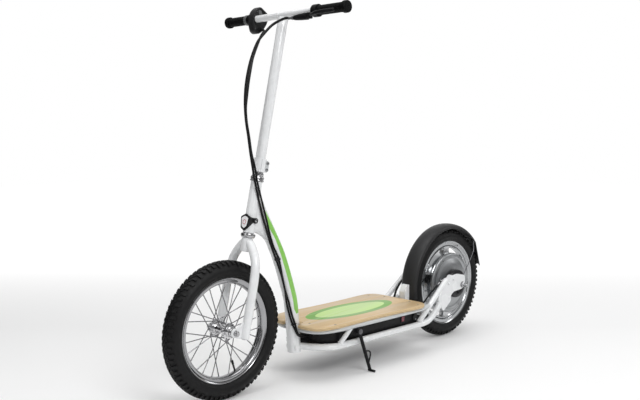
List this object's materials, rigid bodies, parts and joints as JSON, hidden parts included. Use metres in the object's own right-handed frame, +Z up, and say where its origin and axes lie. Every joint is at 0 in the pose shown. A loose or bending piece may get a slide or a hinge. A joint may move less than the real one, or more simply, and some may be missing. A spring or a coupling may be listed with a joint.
{
  "type": "stand-up electric scooter",
  "caption": "Stand-up electric scooter with large air tyres, spoked front wheel, hub motor rear wheel, wooden deck, twist throttle, brake lever and folding side stand.",
  "frame": {"origin": "on the ground under the middle of the scooter's bounding box", "axes": "+X forward, +Y to the rider's left, +Z up"},
  "size_m": [1.5234, 0.5486, 1.2002],
  "materials": {
    "white_paint": "gloss white paint",
    "grey_paint": "satin light grey paint",
    "black_paint": "satin black paint",
    "bamboo_deck": "varnished laminated bamboo with a two-tone green oval",
    "black_tray": "textured black plastic",
    "black_plastic": "moulded black plastic",
    "grey_plastic": "moulded dark grey plastic",
    "grey_fender": "moulded dark grey plastic",
    "battery_case": "shrink-wrapped cell pack",
    "controller_case": "extruded finned case",
    "red_plastic": "translucent red rocker",
    "grey_rubber": "soft grey cap",
    "cable_jacket": "smooth black jacket",
    "bright_aluminium": "polished",
    "bearing_steel": "ground",
    "bright_steel": "zinc plated",
    "stator_steel": "laminated core with windings",
    "dark_brake": "dark pressed cover",
    "white_lens": "prismatic reflector face",
    "dark_grip": "ribbed soft grip",
    "rim_aluminium": "machined rim",
    "motor_cover_silver": "silver sprayed casting",
    "tyre_rubber": "black tyre with blocks at the tread's edges"
  },
  "bodies": {
    "frame": {"battery_pack": "battery_case", "battery_tray": "black_tray", "brake_cable": "cable_jacket", "brake_cover": "dark_brake", "cable_clip": "black_plastic", "charge_port": "black_plastic", "deck_board": "bamboo_deck", "deck_rail_left": "grey_paint", "deck_rail_right": "grey_paint", "down_tube": "white_paint", "dropout_plate_left": "white_paint", "dropout_plate_right": "white_paint", "fender_bracket": "white_paint", "fender_stay": "bright_steel", "front_reflector_housing": "black_plastic", "front_reflector_lens": "white_lens", "front_strut_left": "white_paint", "front_strut_right": "white_paint", "head_tube": "white_paint", "headset_lower_bearing": "bearing_steel", "headset_lower_cup": "bright_aluminium", "headset_upper_bearing": "bearing_steel", "headset_upper_cup": "bright_aluminium", "lower_rail_left": "white_paint", "lower_rail_right": "white_paint", "motor_cable": "cable_jacket", "motor_controller": "controller_case", "motor_stator": "stator_steel", "power_switch_bezel": "black_plastic", "rear_axle": "bright_steel", "rear_crossmember": "white_paint", "rear_fender": "grey_fender", "rear_stay_left": "white_paint", "rear_stay_right": "white_paint", "stand_bracket": "black_paint", "throttle_wire": "cable_jacket"},
    "steering": {"fork": "white_paint", "headset_locknut": "bright_aluminium", "stem_tube": "white_paint", "stem_clamp": "white_paint", "handlebar": "white_paint", "left_grip": "dark_grip", "throttle_housing": "grey_plastic", "brake_lever_perch": "black_paint", "front_axle": "bright_steel"},
    "front_wheel": {"front_tyre": "tyre_rubber", "front_rim": "rim_aluminium", "front_hub": "bright_aluminium", "front_spokes_left": "bright_steel", "front_spokes_right": "bright_steel"},
    "rear_wheel": {"rear_tyre": "tyre_rubber", "rear_wheel": "rim_aluminium", "motor_cover": "motor_cover_silver", "brake_drum": "bearing_steel"},
    "stand": {"side_stand": "black_paint"},
    "lever": {"brake_lever": "black_paint"},
    "throttle": {"throttle_grip": "dark_grip"},
    "rocker": {"power_rocker": "red_plastic"},
    "port_cap": {"charge_port_cap": "grey_rubber"},
    "arm": {"brake_arm": "bright_steel"}
  },
  "joints": [
    {"name": "steering", "type": "hinge", "parent": "frame", "child": "steering", "pos_m": [0.45176, 0, 0.48748], "axis": [-0.2181, 0, 0.9759], "range_deg": [-50, 50], "deforming": ["brake_cable", "throttle_wire"]},
    {"name": "front_wheel_spin", "type": "hinge", "parent": "steering", "child": "front_wheel", "pos_m": [0.5517, 0, 0.21], "axis": [0, 1, 0], "continuous": true},
    {"name": "rear_wheel_spin", "type": "hinge", "parent": "frame", "child": "rear_wheel", "pos_m": [-0.5417, 0, 0.21], "axis": [0, 1, 0], "continuous": true},
    {"name": "side_stand_fold", "type": "hinge", "parent": "frame", "child": "stand", "pos_m": [0.0958, 0.1345, 0.1485], "axis": [0, 1, 0], "range_deg": [0, 62]},
    {"name": "brake_lever_pull", "type": "hinge", "parent": "steering", "child": "lever", "pos_m": [0.33153, 0.148, 1.1421], "axis": [0, 0, 1], "range_deg": [0, 11.5], "stiffness_Nm_per_rad": 1.5, "springref_deg": -8.59},
    {"name": "brake_arm_pull", "type": "hinge", "parent": "frame", "child": "arm", "pos_m": [-0.4937, 0.0683, 0.208], "axis": [0, 1, 0], "range_deg": [0, 5.75], "stiffness_Nm_per_rad": 0.3, "springref_deg": -8.59},
    {"name": "throttle_twist", "type": "hinge", "parent": "steering", "child": "throttle", "pos_m": [0.30153, 0, 1.1596], "axis": [0, -1, 0], "range_deg": [0, 70], "stiffness_Nm_per_rad": 0.2, "springref_deg": -8.59},
    {"name": "power_rocker_tip", "type": "hinge", "parent": "frame", "child": "rocker", "pos_m": [-0.1753, 0.0919, 0.1382], "axis": [1, 0, 0], "range_deg": [0, 14]},
    {"name": "charge_cap_lift", "type": "hinge", "parent": "frame", "child": "port_cap", "pos_m": [-0.2407, 0.0985, 0.1465], "axis": [1, 0, 0], "range_deg": [0, 100]}
  ],
  "couplings": [
    {"joint": "brake_arm_pull", "follows": "brake_lever_pull", "ratio": 0.5}
  ]
}
